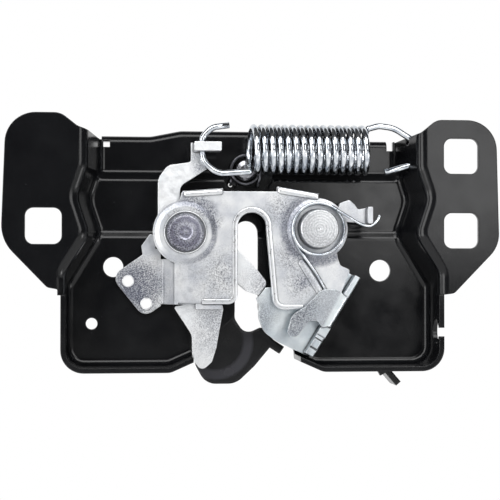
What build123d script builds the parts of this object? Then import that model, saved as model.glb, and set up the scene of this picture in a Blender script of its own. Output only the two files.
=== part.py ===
from build123d import *
import math
import os

# Hood latch: a stamped bracket that carries a slotted front plate, a claw, a pawl and a safety hook.
# The viewer looks along +Y: +X is to the right, +Z is up, and smaller Y is nearer to the viewer.
# The origin is at the middle of the striker slot, level with the pivots, on the bracket's lower floor.

# Sheet and lever thicknesses
bracket_t = 2.0
plate_t = 2.0
lever_t = 3.6
hook_t = 2.5

# Depths of the bracket's floor and wings
wing_face_y = -20.0
low_floor_y = 0.0
mid_floor_y = 1.5
high_floor_y = 5.0

# Bracket, seen from the front
pan_half_width = 60.5
pan_waist_out = 4.0
box_half_width = 73.4
box_top_z = -26.0
box_bottom_z = -54.0
wall_flare = 5.0
pan_top_z = 37.0
mid_step_z = -1.7
high_step_z = 22.2
low_step_run = 2.8
high_step_run = 3.3
step_bend_r = 2.5
mouth_bend_r = 2.0
wall_corner_r = 5.0
floor_bend_r = 2.4
floor_back_bend_r = 2.8
box_corner_r = 7.0
mouth_left_x = -24.0
mouth_right_x = 18.0
flange_end_rise = 4.0

# Top flange of the bracket
top_flange_depth = 6.0
top_flange_bend_r = 3.0
top_flange_low_z = 38.6
top_flange_high_z = 41.0

# Wings
wing_left_x = -98.2
wing_right_x = 97.8
wing_left_top_z = 44.9
wing_right_top_z = 43.6
wing_corner_r = 12.0
wing_foot_z = -25.8
bolt_hole = 14.0
bolt_hole_r = 3.2
left_hole = (-82.0, 1.0)
right_high_hole = (82.4, 29.2)
right_low_hole = (82.4, -0.4)

# Holes in the bracket
left_round_hole = (-55.2, -14.8)
left_round_r = 4.0
right_round_hole = (53.5, -16.2)
right_round_r = 4.4
small_hole = (-63.8, -37.5)
small_hole_r = 2.3
foot_hole_high = (-49.3, -20.4)
foot_hole_low = (-42.0, -29.5)
foot_hole_r = 2.1
bracket_slot_x = -1.5
bracket_slot_half = 4.7
bracket_slot_top_z = 3.9
keyhole_y = -13.5
keyhole_z = -40.6
keyhole_r = 5.2
keyhole_slot = 3.4

# Pivots
claw_pivot = (-26.7, -1.0)
pawl_pivot = (26.2, 0.4)
hook_pivot = (-1.5, 25.0)
shank_r = 5.0
rear_head_r = 7.5
rear_head_t = 2.2
bush_wall = 1.5
fit_gap = 0.03
running_gap = 0.05
side_gap = 0.1
washer_r = 9.0
rear_washer_t = 2.1
front_washer_t = 1.9
pad_r = 11.0

# Front plate
boss_rise = 0.8
boss_r = 10.4
boss_foot_r = 12.2
plate_disc_r = 12.9
slot_half_top = 5.7
slot_top_z = 7.0
slot_half_bottom_right = 8.2
slot_lip_r = 1.4
plate_top_z = 15.4
left_leg_bottom_z = -29.7
right_leg_bottom_z = -32.0
claw_rivet_head_r = 7.4
claw_rivet_head_t = 1.6
stud_head_r = 7.7
stud_face_y = -17.0

joggle_top_x = -31.0
joggle_foot_x = -35.2
joggle_top_z = -11.6

# Claw
claw_hub_r = 10.9
claw_tip_r = 38.8
tip_clearance = 0.35
claw_arm_top = 35.9
tab_reach = 6.9
tab_hole_r = 1.9
spring_hook_x = -20.0

# Pawl
pawl_hub_r = 10.6
pawl_flange_t = 2.6
pawl_grip_t = 3.8
pawl_fold_r = 2.2
pawl_hook_t = 2.0
pawl_hook_gap = 1.9
pawl_flange_foot = (-1.9, -51.4)
pawl_flange_top = (17.2, -19.8)
pawl_fold_start = 13.7
pawl_fold_end = 27.5

# Main tension spring
spring_wire_r = 1.25
spring_outer_r = 10.1
spring_turns = 15.5
spring_axis_y = -8.5
spring_axis_z = 32.2
spring_left_x = -1.1
spring_right_x = 47.2
spring_end_drop = 6.0
joint_swell = 1.06

# Pawl's torsion spring
pawl_wire_r = 0.6
pawl_coil_r = 10.3
pawl_coil_pitch = 1.25
pawl_coil_turns = 2.45

# Safety hook, its rivet and spring
hook_gap = 0.5
hook_eye_r = 9.0
hook_shank_r = 4.0
hook_head_r = 4.9
hook_head_t = 3.0
hook_wire_r = 0.6
hook_coil_gap = 0.4
hook_coil_turns = 1.5
hook_coil_pitch = 1.22
dish_r = 10.5
tail_width = 9.0
tail_tab_depth = 13.0
leg_window_r = 2.4

# Depths that follow from the stack of washers and levers
claw_back_y = low_floor_y - rear_washer_t - side_gap
claw_front_y = claw_back_y - lever_t
boss_back_y = claw_front_y - side_gap - front_washer_t
plate_back_y = boss_back_y + boss_rise
plate_front_y = plate_back_y - plate_t
boss_front_y = boss_back_y - plate_t
bush_r = shank_r + fit_gap + bush_wall
pawl_flange_run = math.dist(pawl_flange_foot, pawl_flange_top)
hook_front_y = high_floor_y + bracket_t + hook_gap
hook_back_y = hook_front_y + hook_t
hook_coil_r = hook_head_r + hook_coil_gap + hook_wire_r
leg_place = (hook_pivot[0] - hook_coil_r, hook_pivot[1] - 6.0)
far = 120.0


def front_plane(y):
    """Plane at depth y as the viewer sees it: local x to the right, local y up."""
    return Plane(origin=(0, y, 0), x_dir=(1, 0, 0), z_dir=(0, -1, 0))


def slab(face, front_y, back_y):
    """Solid between two depths with the given front outline."""
    return extrude(front_plane(back_y) * face, amount=back_y - front_y)


def outline(points, centre=(0, 0)):
    """Closed face through (x, z, corner radius) points, placed from a centre."""
    corners = [(centre[0] + x, centre[1] + z) for x, z, _ in points]
    radii = [r for _, _, r in points]
    return make_face(FilletPolyline(*corners, radius=radii, close=True))


def disc(centre, r, front_y, back_y):
    """Round slab at a front position."""
    return slab(Pos(*centre) * Circle(r), front_y, back_y)


def ring(centre, outer_r, inner_r, front_y, back_y):
    """Flat ring or sleeve at a front position."""
    return disc(centre, outer_r, front_y, back_y) - disc(centre, inner_r, front_y, back_y)


def rounded_hole(centre, size, corner_r, front_y, back_y):
    """Cutter for a square hole with round corners."""
    return slab(Pos(*centre) * RectangleRounded(size, size, corner_r), front_y, back_y)


def wall_line(side, grow):
    """Inside line of a flared pan wall from top to bottom, moved out by grow."""
    edge = pan_half_width + grow
    return [
        (side * edge, far / 2, 0),
        (side * edge, 24.5, 9),
        (side * (edge + pan_waist_out), 12.5, 9),
        (side * (edge - 0.8), -2.0, 8),
        (side * (box_half_width + grow), box_top_z + 1.5, 6),
        (side * (box_half_width + grow), box_top_z - 4, 0),
    ]


def flared_room(side, grow, back_y):
    """Half of the upper pan, whose wall leans outwards towards the viewer."""
    inner = -side * pan_half_width / 3
    points = wall_line(side, grow) + [(inner, box_top_z - 4, 0), (inner, far / 2, 0)]
    depth = back_y - wing_face_y
    lean = Vector(side * wall_flare, -depth, 0)
    room = extrude(front_plane(back_y) * outline(points), amount=lean.length, dir=lean)
    return room & slab(Rectangle(2 * (box_half_width + grow), 2 * far), wing_face_y, back_y)


def box_room(grow, back_y):
    """Lower pan with upright walls, rounded corners and ends that rise to the mouth."""
    half = box_half_width + grow
    low = box_bottom_z - grow
    rise = low + flange_end_rise
    face = outline([
        (-half, box_top_z, 0),
        (-half, low, box_corner_r + grow),
        (mouth_left_x - 9, low, 6),
        (mouth_left_x, rise, 0),
        (mouth_right_x, rise, 0),
        (mouth_right_x + 9, low, 6),
        (half, low, box_corner_r + grow),
        (half, box_top_z, 0),
    ])
    return slab(face, wing_face_y, back_y)


def floor_section(grow):
    """Side section of the room in front of the stepped floor, grown by one sheet for its back."""
    low = low_floor_y + grow
    mid = mid_floor_y + grow
    high = high_floor_y + grow
    half_low = low_step_run / 2
    half_high = high_step_run / 2
    points = [
        (wing_face_y, -far / 2),
        (low, -far / 2),
        (low, mid_step_z - half_low),
        (mid, mid_step_z + half_low),
        (mid, high_step_z - half_high),
        (high, high_step_z + half_high),
        (high, far / 2),
        (wing_face_y, far / 2),
    ]
    radii = [0, 0, step_bend_r, step_bend_r, step_bend_r, step_bend_r, 0, 0]
    face = make_face(FilletPolyline(*points, radius=radii, close=True))
    return extrude(Plane(origin=(-far, 0, 0), x_dir=(0, 1, 0), z_dir=(1, 0, 0)) * face, amount=2 * far)


def wall_creases(room, grow):
    """Edges where a leaning wall runs into the upright wall of the box."""
    def on_crease(edge):
        box = edge.bounding_box()
        side = box_half_width + grow
        upright = abs(abs(box.min.X) - side) < 0.01 and abs(abs(box.max.X) - side) < 0.01
        return upright and box.min.Z > box_top_z and box.size.Y > 5 and box.size.Z > 2

    return room.edges().filter_by(on_crease)


def floor_rims(room):
    """Edges between the stepped floor and the walls round it."""
    def is_floor(face):
        step = face.geom_type == GeomType.CYLINDER and abs(face.normal_at().X) < 0.05
        return step or face.normal_at().Y > 0.8

    floor = room.faces().filter_by(is_floor)
    walls = room.faces().filter_by(lambda face: not is_floor(face))
    wall_edges = walls.edges()
    rims = [edge for edge in floor.edges() if edge in wall_edges]
    return [edge for edge in rims if abs(edge.center().Z) < far / 2 - 1]


def pressed_form(grow, floor_r, mouth_r):
    """Pan and the flat its mouth turns out into, as the front of the sheet or, grown, its back."""
    back_y = high_floor_y + grow
    face_y = wing_face_y + grow
    plan = flared_room(-1, grow, back_y) + flared_room(1, grow, back_y) + box_room(grow, back_y)
    room = plan & floor_section(grow)
    room = fillet(wall_creases(room, grow), wall_corner_r)
    room = fillet(floor_rims(room), floor_r)
    height = far / 2 - wing_foot_z
    zone = Pos(0, wing_foot_z + height / 2) * Rectangle(2 * far, height)
    upper = (room & slab(zone, wing_face_y, back_y)) + slab(zone, wing_face_y - 4, face_y)

    def on_mouth(edge):
        box = edge.bounding_box()
        level = abs(box.min.Y - face_y) < 0.01 and abs(box.max.Y - face_y) < 0.01
        return level and pan_half_width < abs(edge.center().X) < far - 1 and box.size.Z > 0.05

    form = room + fillet(upper.edges().filter_by(on_mouth), mouth_r)
    form += disc((hook_pivot[0] + 1.0, hook_pivot[1] - 1.0), dish_r + grow, wing_face_y, back_y)
    for pivot in (claw_pivot, pawl_pivot):
        form -= disc(pivot, pad_r - grow, low_floor_y + grow, back_y + 1)
    return form


def left_wing_face():
    """Outline of the left wing, running in over the pan."""
    return outline([
        (-50.0, 36.9, 0),
        (-60.5, 36.9, 2),
        (-69.0, 39.8, 5),
        (-75.5, wing_left_top_z, 7),
        (wing_left_x + 1.8, wing_left_top_z, wing_corner_r),
        (wing_left_x, -4.5, 15),
        (-80.5, -22.8, 3),
        (-box_half_width - bracket_t - 1.2, -23.5, 0.5),
        (-box_half_width - bracket_t - 1.2, wing_foot_z, 0),
        (-50.0, wing_foot_z, 0),
    ])


def right_wing_face():
    """Outline of the right wing, running in over the pan."""
    return outline([
        (50.0, 36.6, 0),
        (60.5, 36.6, 2),
        (66.5, 38.6, 4),
        (72.5, wing_right_top_z, 6),
        (wing_right_x - 1.2, wing_right_top_z, wing_corner_r),
        (wing_right_x, -6.5, 12),
        (79.5, -25.3, 3),
        (box_half_width + bracket_t + 0.1, wing_foot_z, 0),
        (50.0, wing_foot_z, 0),
    ])


def top_flange():
    """Strip along the pan's top edge: the floor rolls over and runs back, rising in the middle."""
    path = FilletPolyline(
        (-60.0, 0, top_flange_low_z),
        (-40.0, 0, top_flange_low_z),
        (-28.0, 0, top_flange_high_z),
        (36.0, 0, top_flange_high_z),
        (49.0, 0, top_flange_low_z - 1.2),
        (57.4, 0, top_flange_low_z - 1.2),
        radius=[12, 12, 12, 12],
    )
    bend = top_flange_bend_r
    front = high_floor_y
    back = front + bracket_t + top_flange_depth
    section = make_face(FilletPolyline(
        (front, -6.5),
        (front, 0),
        (back, 0),
        (back, -bracket_t),
        (front + bracket_t, -bracket_t),
        (front + bracket_t, -6.5),
        radius=[0, bend, 0, 0, bend - bracket_t, 0],
        close=True,
    ))
    start = Plane(origin=(-60.0, 0, top_flange_low_z), x_dir=(0, 1, 0), z_dir=(1, 0, 0))
    return sweep(start * section, path=path)


def floor_top_trim():
    """Cutter above the floor's edge, below the rolled strip."""
    low = top_flange_low_z - 4.5
    high = top_flange_high_z - 4.5
    face = outline([
        (-pan_half_width + 0.5, far, 0),
        (-pan_half_width + 0.5, low, 0),
        (-40.0, low, 12),
        (-28.0, high, 12),
        (36.0, high, 12),
        (49.0, low - 1.2, 12),
        (55.5, low - 1.2, 0),
        (55.5, 33.3, 0),
        (pan_half_width - 0.5, 33.3, 0),
        (pan_half_width - 0.5, far, 0),
    ])
    return slab(face, low_floor_y, far)


def bracket_slot():
    """Cutter for the striker slot and the mouth below it."""
    left = bracket_slot_x - bracket_slot_half
    right = bracket_slot_x + bracket_slot_half
    face = outline([
        (left, bracket_slot_top_z, bracket_slot_half - 0.05),
        (right, bracket_slot_top_z, bracket_slot_half - 0.05),
        (right, -33.0, 5),
        (mouth_right_x, -48.5, 3),
        (mouth_right_x, -far, 0),
        (mouth_left_x, -far, 0),
        (mouth_left_x, -50.5, 3),
        (left, -35.0, 5),
    ])
    return slab(face, low_floor_y - 3, far)


def mouth_gap():
    """Cutter that opens the bottom flange at the mouth."""
    return slab(outline([
        (mouth_left_x, -42.0, 0),
        (mouth_right_x, -42.0, 0),
        (mouth_right_x, -far, 0),
        (mouth_left_x, -far, 0),
    ]), wing_face_y - 1, low_floor_y - 1)


def keyhole():
    """Cutter for the conduit's seat in the right wall: a round hole open to the front edge."""
    side = Plane(origin=(box_half_width - 5, 0, 0), x_dir=(0, 1, 0), z_dir=(1, 0, 0))
    hole = Pos(keyhole_y, keyhole_z) * Circle(keyhole_r)
    reach = keyhole_y - wing_face_y + 1
    slot = Pos(keyhole_y - reach / 2, keyhole_z) * Rectangle(reach, keyhole_slot)
    return extrude(side * (hole + slot), amount=bracket_t + 10)


def spring_seat():
    """Cutter for the notch and hole in the right wall that hold the large spring's hook."""
    side = Plane(origin=(pan_half_width, 0, 0), x_dir=(0, 1, 0), z_dir=(1, 0, 0))
    wide = 2 * spring_wire_r + 1.0
    notch = Pos(spring_axis_y, pan_top_z) * SlotOverall(5.0, wide, rotation=90)
    hole = Pos(spring_axis_y, spring_axis_z - spring_end_drop) * Circle(spring_wire_r + 1.35)
    return extrude(side * (notch + hole), amount=8)


def base_bracket():
    front = pressed_form(0, floor_bend_r, mouth_bend_r + bracket_t)
    back = pressed_form(bracket_t, floor_back_bend_r, mouth_bend_r)
    width = 2 * pan_half_width
    plan = slab(Pos(0, pan_top_z - far) * Rectangle(width, 2 * far), wing_face_y, far)
    plan += slab(Pos(0, wing_foot_z - far) * Rectangle(2 * far, 2 * far), wing_face_y, far)
    plan += slab(left_wing_face(), wing_face_y, far)
    plan += slab(right_wing_face(), wing_face_y, far)
    part = (back - front) & plan
    part -= floor_top_trim()
    part += top_flange()
    part -= slab(Pos(-58.0, 35.4) * Rectangle(2.6, 2.8), low_floor_y, high_floor_y + bracket_t + 0.5)
    part -= bracket_slot()
    part -= mouth_gap()
    part -= keyhole()
    part -= spring_seat()
    for centre in (left_hole, right_high_hole, right_low_hole):
        part -= rounded_hole(centre, bolt_hole, bolt_hole_r, wing_face_y - 1, wing_face_y + bracket_t + 1)
    round_holes = [
        (left_round_hole, left_round_r),
        (right_round_hole, right_round_r),
        (small_hole, small_hole_r),
        (foot_hole_high, foot_hole_r),
        (foot_hole_low, foot_hole_r),
        (claw_pivot, shank_r + fit_gap),
        (pawl_pivot, shank_r + fit_gap),
        (hook_pivot, hook_shank_r + fit_gap),
        (leg_place, leg_window_r),
    ]
    for centre, r in round_holes:
        part -= disc(centre, r, low_floor_y - 1, high_floor_y + bracket_t + 1)
    return part


def turned(profile, centre):
    """Round solid from an (r, y) half section about a pivot."""
    plane = Plane(origin=(centre[0], 0, centre[1]), x_dir=(1, 0, 0), z_dir=(0, 0, 1))
    axis = Axis((centre[0], 0, centre[1]), (0, 1, 0))
    return revolve(plane * make_face(Polyline(*profile, close=True)), axis=axis)


def boss(centre):
    """Form pressed forward round a pivot of the front plate."""
    return turned([
        (0, plate_back_y),
        (boss_foot_r, plate_back_y),
        (boss_foot_r, plate_front_y),
        (boss_r, boss_front_y),
        (0, boss_front_y),
    ], centre)


def boss_hollow(centre):
    """Hollow behind a boss."""
    return turned([
        (0, plate_back_y + 1),
        (boss_foot_r - 0.6, plate_back_y + 1),
        (boss_foot_r - 0.6, plate_back_y),
        (boss_r - 0.6, boss_back_y),
        (0, boss_back_y),
    ], centre)


def plate_body():
    """Flat of the front plate: two legs either side of the slot and a disc round each pivot."""
    slot = slot_half_top
    face = outline([
        (-28.0, plate_top_z, 1),
        (12.0, plate_top_z, 4),
        (27.5, 12.8, 0),
        (32.0, 4.0, 0),
        (34.5, -11.0, 0),
        (35.6, -14.2, 1.5),
        (39.6, -16.0, 1),
        (35.3, -26.8, 2),
        (24.5, -31.6, 0),
        (slot_half_bottom_right + 0.4, right_leg_bottom_z, 4.8),
        (slot, 0.0, 20),
        (slot, slot_top_z, slot - 0.1),
        (-slot, slot_top_z, slot - 0.1),
        (-slot, left_leg_bottom_z, 4),
        (joggle_top_x, left_leg_bottom_z, 0),
        (joggle_top_x, joggle_top_z, 0),
        (-33.0, -4.0, 0),
        (-30.0, 8.0, 0),
    ])
    flat = slab(face, plate_front_y, plate_back_y)
    flat += disc(claw_pivot, plate_disc_r, plate_front_y, plate_back_y)
    flat += disc(pawl_pivot, plate_disc_r - 0.5, plate_front_y, plate_back_y)
    return flat


def plate_foot():
    """Foot that lies on the bracket's floor, with two holes, and the joggle up to the plate."""
    face = outline([
        (joggle_foot_x - 1, -30.4, 0),
        (-43.0, -35.0, 4.2),
        (-56.1, -18.6, 4.2),
        (-43.5, -9.8, 0.5),
        (-44.0, -6.3, 1),
        (-40.0, -0.8, 1),
        (-37.9, -4.6, 0.6),
        (-38.5, -7.5, 0.4),
        (joggle_foot_x - 1, -7.5, 0),
    ])
    foot = slab(face, low_floor_y - plate_t, low_floor_y)
    section = make_face(FilletPolyline(
        (joggle_top_x + 1.5, plate_front_y),
        (joggle_top_x, plate_front_y),
        (joggle_foot_x, low_floor_y - plate_t),
        (joggle_foot_x - 1.6, low_floor_y - plate_t),
        (joggle_foot_x - 1.6, low_floor_y),
        (joggle_foot_x + 1.1, low_floor_y),
        (joggle_top_x + 1.1, plate_back_y),
        (joggle_top_x + 1.5, plate_back_y),
        radius=[0, 1.2, 0.8, 0, 0, 1.2, 0.3, 0],
        close=True,
    ))
    low = left_leg_bottom_z
    web = extrude(Pos(0, 0, low) * section, amount=joggle_top_z - low)
    for centre in (foot_hole_high, foot_hole_low):
        foot -= disc(centre, foot_hole_r, low_floor_y - plate_t - 1, low_floor_y + 1)
    return foot + web


def plate_flanges():
    """Strips bent back from the top edge and the lip under the left leg."""
    left = slab(outline([
        (-27.5, 14.0, 0),
        (-11.7, 14.0, 0),
        (-11.7, 16.6, 0),
        (-27.5, 15.4, 0),
    ]), plate_front_y, plate_front_y + 4.5)
    right = slab(outline([
        (10.2, 14.0, 0),
        (10.2, 17.4, 0),
        (26.8, 14.6, 0),
        (26.8, 12.6, 0),
    ]), plate_front_y, plate_front_y + 4.5)
    lip = slab(outline([
        (-22.6, left_leg_bottom_z + 1, 0),
        (-12.0, left_leg_bottom_z + 1, 0),
        (-12.0, left_leg_bottom_z - 1.9, 0),
        (-22.6, left_leg_bottom_z - 1.9, 0),
    ]), plate_front_y + 0.5, plate_back_y + 0.4)
    return left + right + lip


def spring_ear():
    """Ear right of the stud, its tip folded forward to anchor the torsion spring."""
    x, z = pawl_pivot
    flat = outline([
        (7.0, 4.0, 0),
        (9.3, 10.5, 1),
        (13.0, 11.8, 1),
        (15.2, 10.0, 1),
        (16.6, 7.9, 1),
        (22.0, 8.9, 0.8),
        (22.0, 2.2, 0.8),
        (12.0, 3.0, 0),
    ], pawl_pivot)
    tip = slab(outline([
        (20.0, 2.2, 0.5),
        (22.0, 2.2, 0.5),
        (22.0, 8.9, 0.5),
        (20.0, 8.9, 0.5),
    ], pawl_pivot), plate_front_y - 4.0, plate_back_y)
    return slab(flat, plate_front_y, plate_back_y) + tip


def front_plate():
    plate = plate_body()
    rims = plate.edges().filter_by(lambda e: abs(e.center().Y - plate_front_y) < 0.01)
    rims = rims.filter_by(lambda e: -27 < e.center().X < 23 and e.center().Z < slot_top_z + 0.5)
    plate = fillet(rims, slot_lip_r)
    plate += plate_foot() + plate_flanges() + spring_ear()
    for pivot in (claw_pivot, pawl_pivot):
        plate += boss(pivot)
    for pivot in (claw_pivot, pawl_pivot):
        plate -= boss_hollow(pivot)
        plate -= disc(pivot, shank_r + fit_gap, boss_front_y - 1, plate_back_y + 1)
    return plate


def at_angle(r, degrees):
    """Place at a radius and an angle above +X."""
    return r * math.cos(math.radians(degrees)), r * math.sin(math.radians(degrees))


def claw_finger():
    """Finger across the striker slot, ended by the tip radius, and the pointed lower prong."""
    finger = slab(outline([
        (5.0, 9.0, 0),
        (21.2, -7.0, 10),
        (*at_angle(claw_tip_r - 5.1, -27.9), 1.5),
        (*at_angle(claw_tip_r - 0.9, -30.8), 1),
        (*at_angle(claw_tip_r + 0.5, -34.0), 0.6),
        (*at_angle(claw_tip_r + 0.1, -40.4), 1.2),
        (24.5, -23.4, 3),
        (19.5, -19.0, 2.5),
        (12.6, -20.2, 3.5),
        (0.0, -8.0, 0),
    ], claw_pivot), claw_front_y, claw_back_y)
    finger &= disc(claw_pivot, claw_tip_r, claw_front_y, claw_back_y)
    prong = slab(outline([
        (7.0, -6.0, 0),
        (13.0, -21.0, 3),
        (15.4, -30.6, 3),
        (14.5, -35.4, 8),
        (12.6, -46.0, 6),
        (10.8, -51.8, 3),
        (6.6, -55.4, 2.2),
        (3.0, -50.5, 3),
        (2.8, -41.0, 5),
        (-4.6, -29.6, 0.8),
        (-0.7, -28.9, 0.5),
        (-0.7, -8.0, 0),
    ], claw_pivot), claw_front_y, claw_back_y)
    return finger + prong


def claw():
    arm = slab(outline([
        (-10.8, 2.0, 0),
        (-10.8, 21.5, 6),
        (-7.0, 26.8, 4),
        (2.4, 28.2, 1.2),
        (2.4, claw_arm_top, 0),
        (7.2, claw_arm_top, 0),
        (7.2, 31.5, 0.6),
        (10.2, 26.4, 1.2),
        (-2.0, 18.6, 4),
        (-2.0, 8.0, 0),
    ], claw_pivot), claw_front_y, claw_back_y)
    tab_top = claw_pivot[1] + claw_arm_top
    tab_left = claw_pivot[0] + 3.4
    tab_right = claw_pivot[0] + 14.2
    tab = slab(outline([
        (tab_left, tab_top - lever_t, 0.4),
        (tab_right, tab_top - lever_t, 0.4),
        (tab_right, tab_top, 0.4),
        (tab_left, tab_top, 0.4),
    ]), claw_front_y - tab_reach, claw_front_y + 0.5)
    tab -= Pos(spring_hook_x, spring_axis_y, tab_top) * Cylinder(tab_hole_r, 4 * lever_t)
    lever = arm + claw_finger() + disc(claw_pivot, claw_hub_r, claw_front_y, claw_back_y) + tab
    return lever - disc(claw_pivot, bush_r + running_gap, claw_front_y - 1, claw_back_y + 1)


def bush(pivot):
    """Bearing sleeve on a pivot, as long as the lever with its side gaps."""
    return ring(pivot, bush_r, shank_r + fit_gap, claw_front_y - side_gap, claw_back_y + side_gap)


def rear_washer(pivot):
    return ring(pivot, washer_r, shank_r + fit_gap, low_floor_y - rear_washer_t, low_floor_y)


def front_washer(pivot):
    return ring(pivot, washer_r, shank_r + fit_gap, boss_back_y, claw_front_y - side_gap)


def claw_rivet():
    face_y = boss_front_y - claw_rivet_head_t
    back_y = low_floor_y + bracket_t
    return turned([
        (0, face_y + 0.35),
        (2.4, face_y + 0.35),
        (3.0, face_y + 0.1),
        (claw_rivet_head_r - 1.0, face_y),
        (claw_rivet_head_r, face_y + 0.7),
        (claw_rivet_head_r, boss_front_y),
        (shank_r, boss_front_y),
        (shank_r, back_y),
        (rear_head_r, back_y),
        (rear_head_r - 1.2, back_y + rear_head_t),
        (0, back_y + rear_head_t),
    ], claw_pivot)


def pawl_stud():
    back_y = low_floor_y + bracket_t
    return turned([
        (0, stud_face_y + 0.5),
        (0.6, stud_face_y),
        (stud_head_r - 0.5, stud_face_y),
        (stud_head_r, stud_face_y + 0.5),
        (stud_head_r, boss_front_y),
        (shank_r, boss_front_y),
        (shank_r, back_y),
        (rear_head_r, back_y),
        (rear_head_r - 1.2, back_y + rear_head_t),
        (0, back_y + rear_head_t),
    ], pawl_pivot)


def on_flange(run, depth):
    """Place a run along the pawl's flange from its foot and a depth in from its outer face."""
    foot = Vector(*pawl_flange_foot)
    along = (Vector(*pawl_flange_top) - foot).normalized()
    inward = Vector(-along.Y, along.X)
    place = foot + along * run + inward * depth
    return place.X, place.Y


def flange_strip(start, end, width, front_y, back_y):
    """Stretch of the pawl's folded flange, from start to end along its length."""
    places = [(start, 0), (end, 0), (end, width), (start, width)]
    corners = [(*on_flange(run, depth), 0) for run, depth in places]
    return slab(outline(corners, pawl_pivot), front_y, back_y)


def pawl_hook():
    """Hook folded over the front plate, with the finger that takes the cable's end."""
    back_y = plate_front_y - pawl_hook_gap
    fold_in = pawl_flange_t / 3
    return slab(outline([
        (*on_flange(pawl_fold_end - 0.6, fold_in), 0),
        (8.3, -24.0, 4),
        (1.3, -24.2, 4.5),
        (-5.2, -31.0, 3),
        (-10.7, -34.4, 5),
        (-13.0, -42.8, 1.9),
        (-8.6, -42.8, 1.9),
        (-4.0, -36.6, 2.5),
        (-0.2, -36.8, 1.2),
        (1.4, -39.2, 0.5),
        (*on_flange(pawl_fold_start + 0.6, fold_in), 0),
    ], pawl_pivot), back_y - pawl_hook_t, back_y)


def round_fold(flange, front_y):
    """Rounds the outside of the fold between the flange and the hook."""
    low = Vector(*on_flange(pawl_fold_start, 0)) + Vector(*pawl_pivot)
    high = Vector(*on_flange(pawl_fold_end, 0)) + Vector(*pawl_pivot)

    def on_fold(edge):
        middle = edge.center()
        level = abs(middle.Y - front_y) < 0.01 and edge.bounding_box().size.Y < 0.01
        place = Vector(middle.X, middle.Z)
        return level and abs((place - low).length + (place - high).length - (high - low).length) < 0.01

    return fillet(flange.edges().filter_by(on_fold), pawl_fold_r)


def pawl():
    plate = slab(outline([
        (-9.5, -4.4, 0),
        (-13.2, -13.4, 4),
        (-17.6, -23.4, 1.5),
        (-22.0, -23.6, 0.2),
        (-24.4, -27.0, 0.2),
        (-23.1, -30.4, 3),
        (-23.2, -35.6, 6),
        (-21.2, -41.2, 6),
        (-15.8, -45.2, 8),
        (-4.9, -50.4, 2),
        (*pawl_flange_foot, 0),
        (*pawl_flange_top, 0),
        (15.0, -18.5, 0.5),
        (9.8, -15.9, 2),
        (7.8, -9.4, 3),
        (6.8, -5.4, 0),
    ], pawl_pivot), claw_front_y, claw_back_y)
    plate += disc(pawl_pivot, pawl_hub_r, claw_front_y, claw_back_y)
    plate -= disc(claw_pivot, claw_tip_r + tip_clearance, claw_front_y - 1, claw_back_y + 1)
    hook_y = plate_front_y - pawl_hook_gap - pawl_hook_t
    flange = flange_strip(0, pawl_fold_start + 0.5, pawl_grip_t, hook_y + 0.6, claw_back_y)
    for start, end, depth in ((2.8, 3.6, 1.2), (7.0, 7.5, 1.0), (8.7, pawl_fold_start + 1, 1.6)):
        flange -= flange_strip(start, end, 2 * pawl_grip_t, hook_y, hook_y + depth)
    flange += flange_strip(pawl_fold_start, pawl_fold_end, pawl_flange_t, hook_y, claw_back_y)
    flange += flange_strip(pawl_fold_end - 1, pawl_flange_run, pawl_flange_t, hook_y + 0.6, claw_back_y)
    lever = plate + round_fold(flange + pawl_hook(), hook_y)
    return lever - disc(pawl_pivot, bush_r + running_gap, claw_front_y - 1, claw_back_y + 1)


def wire(points, radii, r):
    """Round wire along a path of straight runs and arcs."""
    path = FilletPolyline(*points, radius=radii)
    start = Plane(origin=path @ 0, z_dir=path % 0)
    return sweep(start * Circle(r), path=path)


def coil(plane, mean_r, r, pitch, turns):
    """Coil of round wire about the plane's normal, from its local x axis."""
    path = Helix(pitch=pitch, height=pitch * turns, radius=mean_r)
    start = Plane(origin=path @ 0, z_dir=path % 0)
    turns_solid = sweep(start * Circle(r), path=path, is_frenet=True)
    return plane * turns_solid


def join_leg(body, point, r, leg):
    """Adds a leg to a coil's end, with a slightly fuller round joint between them."""
    body += Pos(*point) * Sphere(r * joint_swell)
    return body + leg


def claw_spring():
    mean_r = spring_outer_r - spring_wire_r
    length = spring_right_x - spring_left_x
    y = spring_axis_y
    low = spring_axis_z - mean_r
    high = spring_axis_z + mean_r
    axis = Plane(origin=(spring_left_x, y, spring_axis_z), x_dir=(0, 0, -1), z_dir=(1, 0, 0))
    body = coil(axis, mean_r, spring_wire_r, length / spring_turns, spring_turns)
    left = wire([
        (spring_left_x, y, low),
        (-14.0, y, low - 1.0),
        (spring_hook_x, y, 27.5),
        (spring_hook_x, y, 36.9),
        (-16.2, y, 40.9),
        (-9.2, y, 41.9),
    ], [8, 7, 4.5, 6], spring_wire_r)
    right = wire([
        (spring_right_x, y, high),
        (51.5, y, 42.2),
        (57.5, y, 41.4),
        (67.6, y, 35.2),
        (67.6, y, spring_axis_z - spring_end_drop + 1.0),
        (53.9, y, spring_axis_z - spring_end_drop - 2.8),
    ], [6, 12, 5, 2.8], spring_wire_r)
    body = join_leg(body, (spring_left_x, y, low), spring_wire_r, left)
    return join_leg(body, (spring_right_x, y, high), spring_wire_r, right)


def leg_points(points, radii, count):
    """Points spaced along a leg that runs straight and turns in arcs, without its first."""
    path = FilletPolyline(*points, radius=radii)
    return [path @ (i / count) for i in range(1, count + 1)]


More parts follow.
